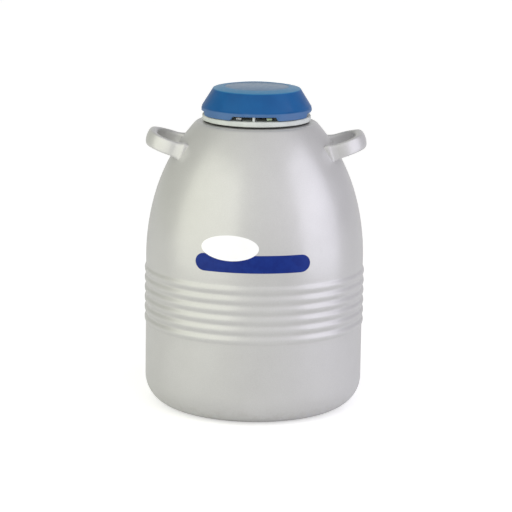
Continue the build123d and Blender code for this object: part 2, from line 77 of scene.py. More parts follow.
SIDE_ARC, SIDE_ANGLE = 487 * MM, radians(15.9)
SHOULDER_ARC, SHOULDER_ANGLE = 398 * MM, radians(25.0)
BROW = 16 * MM
COLLAR_BEND = 5 * MM
COLLAR_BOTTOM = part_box("dome_collar")[0].z
COLLAR_RADIUS = 61.6 * MM
DISH_RADIUS, DISH_RISE, FOOT_INNER = 110 * MM, 14 * MM, 150 * MM

# centre of the shoulder's arc, as radius and height
SHOULDER_R = WALL - SIDE_ARC + (SIDE_ARC - SHOULDER_ARC) * cos(SIDE_ANGLE)
SHOULDER_Z = DOME_START + (SIDE_ARC - SHOULDER_ARC) * sin(SIDE_ANGLE)

BRIM_TOP, RIM_HEIGHT = 643.7 * MM, 683.4 * MM    # the cap's brim and the rim of its flat top

RIB_COUNT, RIB_PITCH, RIB_HEIGHT, RIB_CREST = 6, 21.5 * MM, 3 * MM, 12.5 * MM
FIRST_RIB = 187 * MM
GROOVE_RUN = 12 * MM

ROUND = 288                  # facets round the shell
PORT_ROUND = 96              # facets round the vacuum port
CAP_ROUND = 480              # facets round the cap, enough for its windows
HANDLE_ROUND = 32            # points round a handle's section
SHARP = radians(40)          # edges that turn by more than this stay crisp
FRONT = radians(-90)         # the front, as an angle about +Z
UP = Vector((0, 0, 1))


# ------------------------------------------------------------------ outlines


class Outline:
    """A line of (radius, height) points, drawn like a plotter pen with straight runs and arcs."""

    def __init__(self, radius, height, heading=90.0):
        self.points = [(radius, height)]
        self.heading = radians(heading)

    def line_to(self, radius, height, steps=1):
        r0, z0 = self.points[-1]
        for i in range(1, steps + 1):
            t = i / steps
            self.points.append((r0 + (radius - r0) * t, z0 + (height - z0) * t))
        self.heading = atan2(height - z0, radius - r0)
        return self

    def arc(self, radius, angle, steps):
        """Turn left by a positive angle, right by a negative one."""
        r0, z0 = self.points[-1]
        side = 1 if angle > 0 else -1
        centre = (r0 - side * radius * sin(self.heading), z0 + side * radius * cos(self.heading))
        start = self.heading
        for i in range(1, steps + 1):
            h = start + angle * i / steps
            self.points.append((centre[0] + side * radius * sin(h),
                                centre[1] - side * radius * cos(h)))
        self.heading = start + angle
        return self

    def s_curve(self, run, rise, steps):
        """Two equal arcs that shift the line sideways, to the left for a positive rise."""
        bend = 2 * atan(abs(rise) / run)
        radius = run / 2 / sin(bend)
        turn = bend if rise > 0 else -bend
        return self.arc(radius, turn, steps).arc(radius, -turn, steps)

    def inset(self, distance):
        """The same line moved to its left, for the other face of a sheet."""
        moved = []
        n = len(self.points)
        for i, (r, z) in enumerate(self.points):
            before = self.points[max(i - 1, 0)]
            after = self.points[min(i + 1, n - 1)]
            dr, dz = after[0] - before[0], after[1] - before[1]
            length = hypot(dr, dz)
            moved.append((max(r - dz / length * distance, 0.0), z + dr / length * distance))
        return moved


def smooth(amount):
    """Ease from 0 to 1."""
    amount = min(1.0, max(0.0, amount))
    return amount * amount * (3 - 2 * amount)


def corner_arc(here, a, b, radius, steps):
    """Points of the arc that rounds a corner whose sides leave it along the unit vectors a, b."""
    half = a.angle(b) / 2
    reach = radius / tan(half)
    centre = here + (a + b).normalized() * (radius / sin(half))
    start, end = here + a * reach - centre, here + b * reach - centre
    turn = start.angle_signed(end)              # positive is clockwise
    points = []
    for k in range(steps + 1):
        c, s = cos(turn * k / steps), sin(turn * k / steps)
        points.append(centre + Vector((start.x * c + start.y * s, start.y * c - start.x * s)))
    return points


def rounded(corners, steps=4):
    """Corners as (radius, height, rounding): the closed outline with each corner rounded."""
    points = []
    n = len(corners)
    for i, (r, z, rounding) in enumerate(corners):
        here = Vector((r, z))
        before = Vector(corners[i - 1][:2]) - here
        after = Vector(corners[(i + 1) % n][:2]) - here
        if rounding <= 0:
            points.append((r, z))
            continue
        a, b = before.normalized(), after.normalized()
        half = a.angle(b) / 2
        reach = min(rounding / tan(half), 0.49 * before.length, 0.49 * after.length)
        points += [tuple(p) for p in corner_arc(here, a, b, reach * tan(half), steps)]
    return points


# ------------------------------------------------------------------ mesh builders


def new_object(name, bm):
    """A scene object from a bmesh, with outward normals, smooth but for its sharp edges."""
    bmesh.ops.remove_doubles(bm, verts=bm.verts, dist=1e-6)
    bmesh.ops.recalc_face_normals(bm, faces=bm.faces)
    for edge in bm.edges:
        edge.smooth = edge.calc_face_angle(pi) < SHARP
    mesh = bpy.data.meshes.new(name)
    bm.to_mesh(mesh)
    bm.free()
    for polygon in mesh.polygons:
        polygon.use_smooth = True
    obj = bpy.data.objects.new(name, mesh)
    bpy.context.scene.collection.objects.link(obj)
    return obj


def add_lathe(bm, outline_at, segments=ROUND):
    """Skin closed (radius, height) outlines, one for each angle about +Z. A point that lies on
    the axis becomes a single pole."""
    angles = [FRONT + 2 * pi * k / segments for k in range(segments)]
    outlines = [outline_at(a) for a in angles]
    rings = []
    for i, (r, z) in enumerate(outlines[0]):
        if r < 1e-7:
            rings.append([bm.verts.new((0, 0, z))])
        else:
            rings.append([bm.verts.new((o[i][0] * cos(a), o[i][0] * sin(a), o[i][1]))
                          for a, o in zip(angles, outlines)])
    for low, high in zip(rings, rings[1:] + rings[:1]):
        if len(low) == 1 and len(high) == 1:
            continue
        for k in range(segments):
            m = (k + 1) % segments
            corners = (low[k % len(low)], low[m % len(low)],
                       high[m % len(high)], high[k % len(high)])
            bm.faces.new(list(dict.fromkeys(corners)))


def revolve(name, outline, segments=ROUND):
    """A turned piece: a closed (radius, height) outline spun round +Z."""
    bm = bmesh.new()
    add_lathe(bm, lambda angle: outline, segments)
    return new_object(name, bm)


def add_tube(bm, sections):
    """Skin a list of equal loops of points, with flat ends."""
    loops = [[bm.verts.new(p) for p in section] for section in sections]
    n = len(loops[0])
    for low, high in zip(loops, loops[1:]):
        for k in range(n):
            m = (k + 1) % n
            bm.faces.new((low[k], low[m], high[m], high[k]))
    bm.faces.new(loops[0][::-1])
    bm.faces.new(loops[-1])


def rounded_rectangle(centre, u, v, half_u, half_v, inset, reach, steps=3):
    """A loop of points along the axes u and v. The corners' centres lie inset from the sides,
    and reach is the radius drawn round them."""
    loop = []
    for corner, (su, sv) in enumerate(((1, 1), (-1, 1), (-1, -1), (1, -1))):
        for k in range(steps + 1):
            a = pi / 2 * (corner + k / steps)
            loop.append(centre + u * (su * (half_u - inset) + reach * cos(a))
                        + v * (sv * (half_v - inset) + reach * sin(a)))
    return loop


def rounded_box(bm, centre, size, edge, axes, steps=3):
    """A box with rounded upright and level edges: stacked rounded rectangles."""
    half = Vector(size) / 2
    levels = []
    for k in range(steps + 1):
        a = pi / 2 * k / steps
        levels.append((edge * (1 - sin(a)), -half.z + edge * (1 - cos(a))))
    levels += [(shrink, -height) for shrink, height in reversed(levels)]
    add_tube(bm, [rounded_rectangle(centre + axes[2] * height, axes[0], axes[1], half.x, half.y,
                                    edge, edge - shrink, steps) for shrink, height in levels])


def bent_path(corners, steps):
    """An open path through corners given as (u, v, bend radius)."""
    points = [Vector(corners[0][:2])]
    for before, here, after in zip(corners, corners[1:], corners[2:]):
        corner = Vector(here[:2])
        a = (Vector(before[:2]) - corner).normalized()
        b = (Vector(after[:2]) - corner).normalized()
        points += corner_arc(corner, a, b, here[2], steps)
    return points + [Vector(corners[-1][:2])]


def headings(points):
    """The direction of travel at each point of a path."""
    ends = zip(points[:1] + points[:-1], points[1:] + points[-1:])
    return [(after - before).normalized() for before, after in ends]


def finish_piece(obj, body, slot, material, *nodes):
    """Hang a piece on its body, hide the nodes it stands in for and give it its finish."""
    obj.data.materials.append(material)
    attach(obj, body)
    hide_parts(*nodes)


# ------------------------------------------------------------------ materials


def fill_ramp(ramp, stops):
    """Give a colour ramp its (position, colour) stops."""
    while len(ramp.elements) < len(stops):
        ramp.elements.new(0.5)
    for element, (position, colour) in zip(ramp.elements, stops):
        element.position = position
        element.color = (*colour, 1)


class Shader:
    """A small helper that builds one node material."""

    def __init__(self, name):
        self.material = bpy.data.materials.new(name)
        self.material.use_nodes = True
        self.tree = self.material.node_tree
        self.nodes, self.links = self.tree.nodes, self.tree.links
        self.bsdf = self.nodes["Principled BSDF"]
        self.place = self.nodes.new("ShaderNodeTexCoord").outputs["Object"]

    def set(self, **values):
        for key, value in values.items():
            self.bsdf.inputs[key.replace("_", " ")].default_value = value

    def mapped(self, scale):
        node = self.nodes.new("ShaderNodeMapping")
        node.inputs["Scale"].default_value = scale
        self.links.new(self.place, node.inputs["Vector"])
        return node.outputs["Vector"]

    def noise(self, scale, detail=4.0, roughness=0.55, stretch=(1, 1, 1)):
        node = self.nodes.new("ShaderNodeTexNoise")
        node.inputs["Scale"].default_value = scale
        node.inputs["Detail"].default_value = detail
        node.inputs["Roughness"].default_value = roughness
        self.links.new(self.mapped(stretch), node.inputs["Vector"])
        return node.outputs["Fac"]

    def voronoi(self, scale, stretch=(1, 1, 1)):
        node = self.nodes.new("ShaderNodeTexVoronoi")
        node.inputs["Scale"].default_value = scale
        self.links.new(self.mapped(stretch), node.inputs["Vector"])
        return node.outputs["Distance"]

    def height(self):
        node = self.nodes.new("ShaderNodeSeparateXYZ")
        self.links.new(self.place, node.inputs["Vector"])
        return node.outputs["Z"]

    def ramp(self, value, stops):
        node = self.nodes.new("ShaderNodeValToRGB")
        node.color_ramp.interpolation = "EASE"
        fill_ramp(node.color_ramp, stops)
        self.links.new(value, node.inputs["Fac"])
        return node.outputs["Color"]

    def span(self, value, low_in, high_in, low_out, high_out):
        node = self.nodes.new("ShaderNodeMapRange")
        for key, number in (("From Min", low_in), ("From Max", high_in),
                            ("To Min", low_out), ("To Max", high_out)):
            node.inputs[key].default_value = number
        self.links.new(value, node.inputs["Value"])
        return node.outputs["Result"]

    def times(self, a, b):
        node = self.nodes.new("ShaderNodeMath")
        node.operation = "MULTIPLY"
        self.links.new(a, node.inputs[0])
        self.links.new(b, node.inputs[1])
        return node.outputs["Value"]

    def mix(self, factor, a, b, blend="MIX"):
        node = self.nodes.new("ShaderNodeMix")
        node.data_type = "RGBA"
        node.blend_type = blend
        sockets = node.inputs["Factor"], node.inputs[6], node.inputs[7]
        for socket, value in zip(sockets, (factor, a, b)):
            if isinstance(value, float):
                socket.default_value = value
            elif isinstance(value, tuple):
                socket.default_value = (*value, 1)
            else:
                self.links.new(value, socket)
        return node.outputs[2]

    def bump(self, height, distance, strength=1.0, base=None):
        node = self.nodes.new("ShaderNodeBump")
        node.inputs["Distance"].default_value = distance
        node.inputs["Strength"].default_value = strength
        self.links.new(height, node.inputs["Height"])
        if base is not None:
            self.links.new(base, node.inputs["Normal"])
        return node.outputs["Normal"]

    def link(self, output, socket):
        self.links.new(output, self.bsdf.inputs[socket])


def pearl_paint():
    """Warm light grey pearl paint: cloudy tone, fine orange peel, a painted shade near the floor
    in noisy patches.
    """
    s = Shader("pearl_paint")
    s.set(Metallic=0.35, Coat_Weight=0.25, Coat_Roughness=0.16)
    cloud = s.noise(7.0, 3.0)
    speck = s.noise(900.0, 2.0)
    tone = s.ramp(cloud, [(0.3, (0.578, 0.575, 0.572)), (0.7, (0.611, 0.609, 0.607))])
    flake = s.ramp(speck, [(0.35, (0.92, 0.92, 0.92)), (0.65, (1.0, 1.0, 1.0))])
    painted = s.mix(1.0, tone, flake, "MULTIPLY")
    # painted shade: the paint turns darker and warmer in noisy patches near the floor
    shade_noise = s.noise(55.0, 6.0, 0.7)
    low = s.span(s.height(), 0.0, 0.05, 1.0, 0.0)
    floor_shade = s.times(s.span(shade_noise, 0.48, 0.72, 0.0, 0.5), low)
    s.link(s.mix(floor_shade, painted, (0.36, 0.34, 0.30)), "Base Color")
    s.link(s.span(s.noise(18.0, 5.0), 0.3, 0.7, 0.30, 0.38), "Roughness")
    peel = s.bump(s.noise(420.0, 2.0), 0.0004, 0.10)
    wave = s.bump(s.noise(9.0, 1.0, stretch=(1, 1, 2.2)), 0.004, 0.05, peel)
    s.link(wave, "Normal")
    return s.material


def moulded_plastic(name, dark, light, roughness, gloss=0.5, scuffs=0.25, coat=0.0,
                    painted_light_zones=()):
    """Injection-moulded plastic: slight tone drift, fine grain, faint scuffs. A painted light
    zone, a painted highlight or painted reflection laid on by height, is where its colour starts,
    where it is full (heights), how strong it is, and the colour."""
    s = Shader(name)
    s.set(Specular_IOR_Level=gloss, Coat_Weight=coat, Coat_Roughness=0.15)
    tone = s.ramp(s.noise(24.0, 3.0), [(0.3, dark), (0.7, light)])
    rub = s.ramp(s.noise(140.0, 8.0, 0.75, (1, 1, 0.25)),
                 [(0.60, (0, 0, 0)), (0.78, (scuffs, scuffs, scuffs))])
    # painted highlight and painted reflection, laid over the plastic's colour by height
    for start, full, strength, colour in painted_light_zones:
        tone = s.mix(s.span(s.height(), start, full, 0.0, strength), tone, colour)
    paler = tuple(min(1.0, c * 1.35 + 0.02) for c in light)
    s.link(s.mix(rub, tone, paler), "Base Color")
    s.link(s.span(s.noise(90.0, 5.0), 0.25, 0.75, roughness - 0.06, roughness + 0.08), "Roughness")
    s.link(s.bump(s.noise(700.0, 3.0), 0.0002, 0.25), "Normal")
    return s.material


def spun_metal(name, tint, roughness):
    """Bare metal with fine drawing or spinning marks."""
    s = Shader(name)
    s.set(Metallic=1.0)
    marks = s.noise(260.0, 6.0, 0.65, (1, 1, 30))
    darker = tuple(c * 0.82 for c in tint)
    s.link(s.ramp(marks, [(0.25, darker), (0.75, tint)]), "Base Color")
    s.link(s.span(marks, 0.2, 0.8, roughness - 0.08, roughness + 0.10), "Roughness")
    s.link(s.bump(marks, 0.0002, 0.15), "Normal")
    return s.material


def dark_rubber(name, dark, light):
    """Dull black rubber with a fine moulded grain."""
    s = Shader(name)
    s.link(s.ramp(s.noise(120.0, 5.0), [(0.3, dark), (0.7, light)]), "Base Color")
    s.link(s.span(s.noise(60.0, 4.0), 0.3, 0.7, 0.55, 0.75), "Roughness")
    s.link(s.bump(s.noise(1500.0, 3.0), 0.0003, 0.3), "Normal")
    return s.material


def bead_foam():
    """Moulded insulating foam: a skin of small fused beads."""
    s = Shader("bead_foam")
    cells = s.voronoi(420.0)
    s.link(s.ramp(cells, [(0.0, (0.86, 0.85, 0.80)), (0.8, (0.70, 0.68, 0.60))]), "Base Color")
    s.link(s.span(s.noise(40.0), 0.3, 0.7, 0.75, 0.92), "Roughness")
    s.link(s.bump(cells, 0.0009, 0.45), "Normal")
    return s.material


def laminate():
    """Glass-fibre laminate of the neck tube: straw-coloured with wound fibres."""
    s = Shader("laminate")
    s.set(Coat_Weight=0.2, Coat_Roughness=0.3)
    fibre = s.noise(160.0, 6.0, 0.7, (1, 1, 9))
    s.link(s.ramp(fibre, [(0.3, (0.42, 0.38, 0.20)), (0.7, (0.60, 0.56, 0.34))]), "Base Color")
    s.link(s.span(fibre, 0.3, 0.7, 0.35, 0.55), "Roughness")
    s.link(s.bump(fibre, 0.0003, 0.3), "Normal")
    return s.material


def printed_film(name, dark, light, gloss):
    """Printed label film with a satin face."""
    s = Shader(name)
    s.set(Specular_IOR_Level=gloss)
    s.link(s.ramp(s.noise(60.0, 4.0), [(0.3, dark), (0.7, light)]), "Base Color")
    s.link(s.span(s.noise(260.0, 4.0), 0.3, 0.7, 0.34, 0.46), "Roughness")
    s.link(s.bump(s.noise(900.0, 2.0), 0.00008, 0.2), "Normal")
    return s.material


def crinkled_foil():
    """Outer layer of the insulation blanket: aluminised film with creases."""
    s = Shader("crinkled_foil")
    s.set(Metallic=0.85)
    creases = s.voronoi(70.0, (1, 1, 1.6))
    s.link(s.ramp(creases, [(0.1, (0.80, 0.80, 0.78)), (0.8, (0.55, 0.55, 0.53))]), "Base Color")
    s.link(s.span(s.noise(80.0), 0.3, 0.7, 0.22, 0.45), "Roughness")
    s.link(s.bump(creases, 0.003, 0.6), "Normal")
    return s.material


def woven_mesh():
    """Wire mesh that holds the adsorbent and the getter."""
    s = Shader("woven_mesh")
    s.set(Metallic=0.9)
    cells = s.voronoi(900.0)
    s.link(s.ramp(cells, [(0.1, (0.20, 0.20, 0.19)), (0.6, (0.50, 0.50, 0.48))]), "Base Color")
    s.link(s.span(cells, 0.1, 0.7, 0.6, 0.35), "Roughness")
    s.link(s.bump(cells, 0.0006, 0.5), "Normal")
    return s.material


PAINT = pearl_paint()
# painted light on the cap: a painted highlight on its thin skirt and a painted reflection on its
# flat top
CAP_HEM_HIGHLIGHT = (BRIM_TOP + 1.5 * MM, BRIM_TOP - 1.0 * MM, 0.42, (0.15, 0.235, 0.40))
CAP_TOP_REFLECTION = (RIM_HEIGHT - 1.9 * MM, RIM_HEIGHT + 0.2 * MM, 0.85, (0.05, 0.26, 0.48))
CAP_BLUE = moulded_plastic("cap_blue", (0.000, 0.080, 0.265), (0.001, 0.096, 0.300), 0.42, 0.2,
                           scuffs=0.12, coat=0.22, painted_light_zones=(CAP_HEM_HIGHLIGHT, CAP_TOP_REFLECTION))
DISC_BLUE = moulded_plastic("disc_blue", (0.008, 0.120, 0.275), (0.014, 0.145, 0.315), 0.32, 0.3,
                            coat=0.36)
RING_WHITE = moulded_plastic("ring_white", (0.57, 0.60, 0.58), (0.66, 0.69, 0.67), 0.40)
RUBBER = dark_rubber("black_rubber", (0.012, 0.012, 0.012), (0.030, 0.029, 0.027))
COVER_RUBBER = dark_rubber("cover_rubber", (0.016, 0.016, 0.018), (0.034, 0.034, 0.036))
FOAM = bead_foam()
LAMINATE = laminate()
ALUMINIUM = spun_metal("spun_aluminium", (0.78, 0.79, 0.80), 0.34)
CUP_METAL = spun_metal("drawn_aluminium", (0.80, 0.81, 0.82), 0.28)
STAINLESS = spun_metal("brushed_stainless", (0.60, 0.60, 0.59), 0.30)
BRASS = spun_metal("turned_brass", (0.72, 0.56, 0.28), 0.30)
FOIL = crinkled_foil()
MESH_PACK = woven_mesh()
LABEL_WHITE = printed_film("label_white", (0.95, 0.95, 0.97), (0.97, 0.97, 0.99), 0.5)
LABEL_BLUE = printed_film("label_blue", (0.002, 0.018, 0.180), (0.004, 0.026, 0.215), 0.2)
TAG_GREEN = moulded_plastic("tag_green", (0.42, 0.56, 0.34), (0.52, 0.68, 0.42), 0.38)
TAG_GREY = moulded_plastic("tag_grey", (0.46, 0.46, 0.47), (0.56, 0.56, 0.57), 0.38)

FINISH = {
    "shell_paint": PAINT, "neck_laminate": LAMINATE, "gasket_rubber": RUBBER,
    "ring_plastic": RING_WHITE, "vessel_aluminium": ALUMINIUM, "canister_aluminium": CUP_METAL,
    "pack_mesh": MESH_PACK, "foil_blanket": FOIL, "brass_plug": BRASS,
    "cover_rubber": COVER_RUBBER, "label_white": LABEL_WHITE, "label_blue": LABEL_BLUE,
    "cap_plastic": CAP_BLUE, "disc_plastic": DISC_BLUE, "white_foam": FOAM,
    "stainless": STAINLESS, "tag_green": TAG_GREEN, "tag_grey": TAG_GREY,
}


def dress_cad_nodes():
    """Every carried-over CAD node gets the finish of its slot."""
    for part in frame["record"]["subparts"]:
        obj = frame["nodes"][part["node"]]
        obj.data.materials.clear()
        obj.data.materials.append(FINISH[part["material_slot"]])


dress_cad_nodes()

# ------------------------------------------------------------------ outer shell


def dome_outline():
    """Outside of the dome from the wall up, over the shoulder and down into the neck collar."""
    brow_angle = pi / 2 - SIDE_ANGLE - SHOULDER_ANGLE
    line = Outline(WALL, DOME_START)
    line.arc(SIDE_ARC, SIDE_ANGLE, 20).arc(SHOULDER_ARC, SHOULDER_ANGLE, 24)
    line.arc(BROW, brow_angle, 8)
    line.points[-1] = (line.points[-1][0], SHELL_TOP)
    line.line_to(COLLAR_RADIUS + COLLAR_BEND, SHELL_TOP, 4)
    line.arc(COLLAR_BEND, pi / 2, 5).line_to(COLLAR_RADIUS, COLLAR_BOTTOM, 2)
    return line


def dome_radius(height):
    """Radius of the dome's outside at a height."""
    if height <= DOME_START:
        return WALL
    if height <= DOME_START + SIDE_ARC * sin(SIDE_ANGLE):
        return WALL - SIDE_ARC + sqrt(SIDE_ARC**2 - (height - DOME_START) ** 2)
    return SHOULDER_R + sqrt(max(SHOULDER_ARC**2 - (height - SHOULDER_Z) ** 2, 0))


def wall_outline():
    """Outside of the ribbed wall, from the base pan's rim to the dome."""
    angle = 2 * atan(2 * RIB_HEIGHT / RIB_PITCH)
    rise = 1 - cos(angle)
    crest_arc = RIB_CREST / 2 / sin(angle)
    valley_arc = (RIB_PITCH - RIB_CREST) / 2 / sin(angle)
    lead = (CREST - crest_arc * rise - WALL) / rise
    line = Outline(WALL, BASE_TOP)
    line.line_to(WALL, FIRST_RIB - (lead + crest_arc) * sin(angle), 12)
    line.arc(lead, -angle, 3)
    for rib in range(RIB_COUNT):
        line.arc(crest_arc, 2 * angle, 8)
        if rib < RIB_COUNT - 1:
            line.arc(valley_arc, -2 * angle, 6)
    line.arc(valley_arc, -angle, 4)
    line.s_curve(GROOVE_RUN, line.points[-1][0] - WALL, 4)
    line.line_to(WALL, DOME_START, 2)
    return line


def base_outline():
    """Outside of the base pan, from the axis over the foot ring and up the rounded corner."""
    line = Outline(0, DISH_RISE, 0)
    line.line_to(DISH_RADIUS, DISH_RISE, 6)
    line.s_curve(FOOT_INNER - DISH_RADIUS, -DISH_RISE, 6)
    line.line_to(WALL - BASE_TOP, 0, 2)
    line.arc(BASE_TOP, pi / 2, 20)
    return line


def sheet_loop(line):
    """The closed outline of a sheet whose outside is the line and whose inside is SKIN away."""
    return line.points + line.inset(SKIN)[::-1]


for name, line, nodes in (("dome_shell", dome_outline(), ("outer_dome", "dome_collar")),
                          ("wall_shell", wall_outline(), ("outer_body",)),
                          ("base_shell", base_outline(), ("outer_base",))):
    finish_piece(revolve(name, sheet_loop(line)), "root", "shell_paint", PAINT, *nodes)

# ------------------------------------------------------------------ handles


GRIP_X, GRIP_Z = 222 * MM, 576.5 * MM       # middle of the grip
HANDLE_TILT = radians(18)
HANDLE_REACH, HANDLE_HALF_WIDTH, HANDLE_BEND = 107.3 * MM, 66 * MM, 48 * MM
HANDLE_ROOT = 18 * MM                       # the legs start just inside the shell
HANDLE_STEP = 3 * MM                        # spacing of the sections along the loop


def handle(name, side, node):
    """A loop welded to the shoulder: flat legs on edge that round out into a thick grip."""
    outwards = Vector((side * cos(HANDLE_TILT), 0, sin(HANDLE_TILT)))
    across = Vector((0, 1, 0))
    upwards = Vector((-side * sin(HANDLE_TILT), 0, cos(HANDLE_TILT)))
    grip = Vector((side * GRIP_X, 0, GRIP_Z))
    reach, half_width = HANDLE_REACH, HANDLE_HALF_WIDTH

    path = bent_path([(HANDLE_ROOT, -half_width, 0), (reach, -half_width, HANDLE_BEND),
                      (reach, half_width, HANDLE_BEND), (HANDLE_ROOT, half_width, 0)], 24)
    fine = []
    for a, b in zip(path, path[1:]):
        pieces = max(1, round((b - a).length / HANDLE_STEP))
        fine += [a.lerp(b, k / pieces) for k in range(pieces)]
    fine.append(path[-1])

    sections = []
    for place, heading in zip(fine, headings(fine)):
        centre = grip + outwards * (place.x - reach) + across * place.y
        normal = outwards * heading.y - across * heading.x
        rise = smooth((half_width - abs(place.y)) / (64 * MM))
        clearance = hypot(centre.x, centre.y) - dome_radius(centre.z)
        flare = smooth((20 * MM - clearance) / (22 * MM))
        weld = smooth((4.5 * MM - clearance) / (5 * MM))
        thick = (6.5 + 5.0 * rise + 3.0 * flare + 1.8 * weld) * MM
        deep = (15.5 + 1.5 * rise + 3.2 * flare + 1.8 * weld) * MM
        square = 4.6 - 2.3 * rise               # flat-faced legs, round grip
        section = []
        for k in range(HANDLE_ROUND):
            a = 2 * pi * k / HANDLE_ROUND
            c, s = cos(a), sin(a)
            section.append(
                centre
                + normal * (thick * abs(c) ** (2 / square) * (1 if c > 0 else -1))
                + upwards * (deep * abs(s) ** (2 / square) * (1 if s > 0 else -1)))
        sections.append(section)
    bm = bmesh.new()
    add_tube(bm, sections)
    finish_piece(new_object(name, bm), "root", "shell_paint", PAINT, node)


handle("handle_loop_right", 1, "handle_right")
handle("handle_loop_left", -1, "handle_left")

# ------------------------------------------------------------------ neck and index ring

TUBE_IN, TUBE_OUT = 59.5 * MM, 61.5 * MM
AROUND_TUBE = TUBE_OUT + 0.1 * MM       # bore of what sits round the tube
RING_OUT = ring_box[1].x
RING_LOW = ring_box[0].z
RING_THICK = 11 * MM
RING_TOP = RING_LOW + RING_THICK
RING_BORE = 60 * MM
SEAT_TOP = tube_box[1].z
DIVIDER_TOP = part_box("slot_dividers")[1].z
DIVIDER_IN, DIVIDER_OUT, DIVIDER_THICK = 66.0 * MM, 111.4 * MM, 5.0 * MM
DIVIDER_SUNK = 0.6 * MM                 # how far a divider reaches into the ring
SLOTS = 10
FIRST_DIVIDER = FRONT + radians(-3)

gasket_low, gasket_high, gasket_edge = gasket_box[0].z, gasket_box[1].z, 0.8 * MM
gasket = rounded([(AROUND_TUBE, gasket_low, 0), (gasket_box[1].x, gasket_low, gasket_edge),
                  (gasket_box[1].x, gasket_high, gasket_edge), (AROUND_TUBE, gasket_high, 0)])
finish_piece(revolve("gasket", gasket), "root", "gasket_rubber", RUBBER, "neck_gasket")

tube = rounded([(TUBE_IN, tube_box[0].z, 0.4 * MM), (TUBE_OUT, tube_box[0].z, 0.4 * MM),
                (TUBE_OUT, SEAT_TOP, 0.4 * MM), (TUBE_IN, SEAT_TOP, 0.4 * MM)])
finish_piece(revolve("neck_tube_wall", tube), "root", "neck_laminate", LAMINATE, "neck_tube")


def slot_axes(number):
    """Directions outwards and along the ring. Dividers are at whole numbers, slots at halves."""
    angle = FIRST_DIVIDER + 2 * pi * number / SLOTS
    return Vector((cos(angle), sin(angle), 0)), Vector((-sin(angle), cos(angle), 0))


def index_ring():
    """The ring with its rounded edges, and ten bevelled dividers that stand on it."""
    ring = rounded([(RING_BORE, SEAT_TOP, 0), (RING_BORE, RING_TOP, 1.5 * MM),
                    (RING_OUT, RING_TOP, 2.2 * MM), (RING_OUT, RING_LOW, 1.5 * MM),
                    (AROUND_TUBE, RING_LOW, 0), (AROUND_TUBE, SEAT_TOP, 0)], 6)
    finish_piece(revolve("ring_body", ring), "root", "ring_plastic", RING_WHITE, "index_ring")

    bm = bmesh.new()
    foot = RING_TOP - DIVIDER_SUNK
    size = DIVIDER_OUT - DIVIDER_IN, DIVIDER_THICK, DIVIDER_TOP - foot
    for number in range(SLOTS):
        out, along = slot_axes(number)
        centre = out * (DIVIDER_IN + DIVIDER_OUT) / 2 + UP * (foot + size[2] / 2)
        rounded_box(bm, centre, size, 1.0 * MM, (out, along, UP))
    finish_piece(new_object("divider_set", bm), "root", "ring_plastic", RING_WHITE,
                 "slot_dividers")


index_ring()

# ------------------------------------------------------------------ canister hooks and tags

STRIP_WIDTH, STRIP_THICK = 12.0 * MM, 1.6 * MM
HOOK_HEIGHT = RING_TOP + 0.4 * MM + STRIP_THICK / 2
HOOK_END, HOOK_TOP = 103.2 * MM, RING_TOP + 6.4 * MM
CUP_SIDE, NECK_SIDE = 115.6 * MM, 53.5 * MM     # the strip's centre along the cup, in the neck
STRIP_START, LOW_BEND, HIGH_BEND = 262 * MM, 350 * MM, 396 * MM     # heights along the strip
STRIP_EDGE = 0.5 * MM
TAG_WIDTH, TAG_HEIGHT, TAG_THICK = 10.0 * MM, 4.4 * MM, 1.2 * MM
GREEN_TAG = 1                           # the one canister with a green tag


def canister_fittings(number):
    """The long strip that hooks over the ring, with its tag on the upturned end."""
    out, along = slot_axes(number - 0.5)
    path = bent_path([
        (CUP_SIDE, STRIP_START, 0), (CUP_SIDE, LOW_BEND, 11.2 * MM),
        (NECK_SIDE, HIGH_BEND, 12.8 * MM), (NECK_SIDE, HOOK_HEIGHT, 3.8 * MM),
        (HOOK_END, HOOK_HEIGHT, 2.2 * MM), (HOOK_END, HOOK_TOP, 0)], 6)
    sections = []
    for place, heading in zip(path, headings(path)):
        centre = out * place.x + UP * place.y
        normal = out * -heading.y + UP * heading.x
        sections.append(rounded_rectangle(centre, along, normal, STRIP_WIDTH / 2,
                                          STRIP_THICK / 2, STRIP_EDGE, STRIP_EDGE))
    bm = bmesh.new()
    add_tube(bm, sections)
    body = f"canister_{number}"
    finish_piece(new_object(f"hook_strip_{number}", bm), body, "stainless", STAINLESS,
                 f"canister_handle_{number}")

    bm = bmesh.new()
    centre = out * (HOOK_END + (STRIP_THICK + TAG_THICK) / 2) + UP * (HOOK_TOP - TAG_HEIGHT / 2)
    rounded_box(bm, centre, (TAG_THICK, TAG_WIDTH, TAG_HEIGHT), 0.4 * MM, (out, along, UP))
    slot = "tag_green" if number == GREEN_TAG else "tag_grey"
    finish_piece(new_object(f"tag_{number}", bm), body, slot, FINISH[slot],
                 f"canister_tag_{number}")


for number in range(1, SLOTS + 1):
    canister_fittings(number)

# ------------------------------------------------------------------ cap

CAP_LOW, CAP_TOP = cap_box[0].z, cap_box[1].z
BRIM = cap_box[1].x
SKIRT = 117.2 * MM
CAP_WALL = 3.2 * MM
RIM = 92.8 * MM
DISC_RADIUS, DISC_FLOOR = 68.0 * MM, disc_box[0].z
WINDOW_TOP = 637.6 * MM
WINDOW_CENTRE = FRONT + radians(-2.5)
WINDOW_PITCH = 90.0             # degrees from window to window
WINDOW_HALF, WINDOW_END = 22.0, 4.0     # half a window's width, and its sloped end (degrees)
HEM_START, HEM_RUN = 9.0, 5.0   # where the hem rises from the skirt (degrees)


